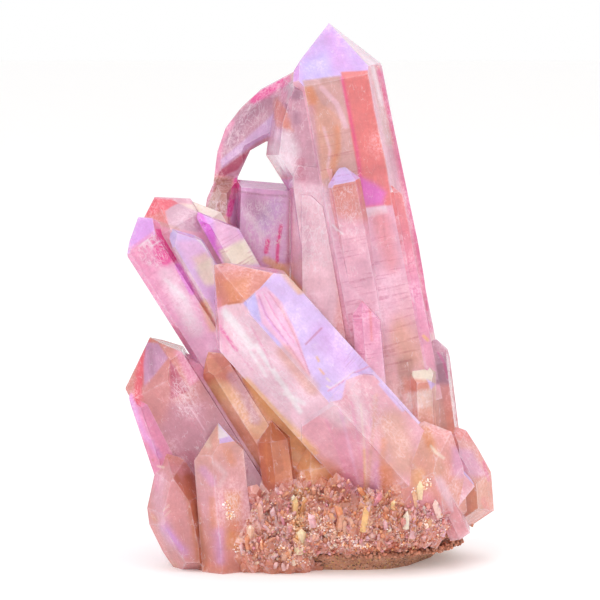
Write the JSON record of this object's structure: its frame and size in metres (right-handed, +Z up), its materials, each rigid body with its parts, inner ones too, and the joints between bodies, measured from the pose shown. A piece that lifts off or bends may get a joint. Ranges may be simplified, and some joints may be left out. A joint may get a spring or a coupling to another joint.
{
  "type": "quartz crystal cluster",
  "caption": "Standing cluster of pink aura-coated quartz crystals on a druzy foot with a rind of brown host rock, resting flat.",
  "frame": {"origin": "on the surface the cluster rests on, below the middle of the front crystals", "axes": "+Z up along the tall crystal, -Y towards the viewer's side, +X to the right of that view"},
  "size_m": [0.0739, 0.046, 0.1077],
  "materials": {
    "pink_quartz": "clear to milky pink quartz with a thin lilac and magenta metallic aura coat",
    "host_rock": "granular brown host rock with dark specks"
  },
  "bodies": {
    "root": {"quartz_cluster": "pink_quartz", "matrix_rind": "host_rock"}
  },
  "joints": []
}
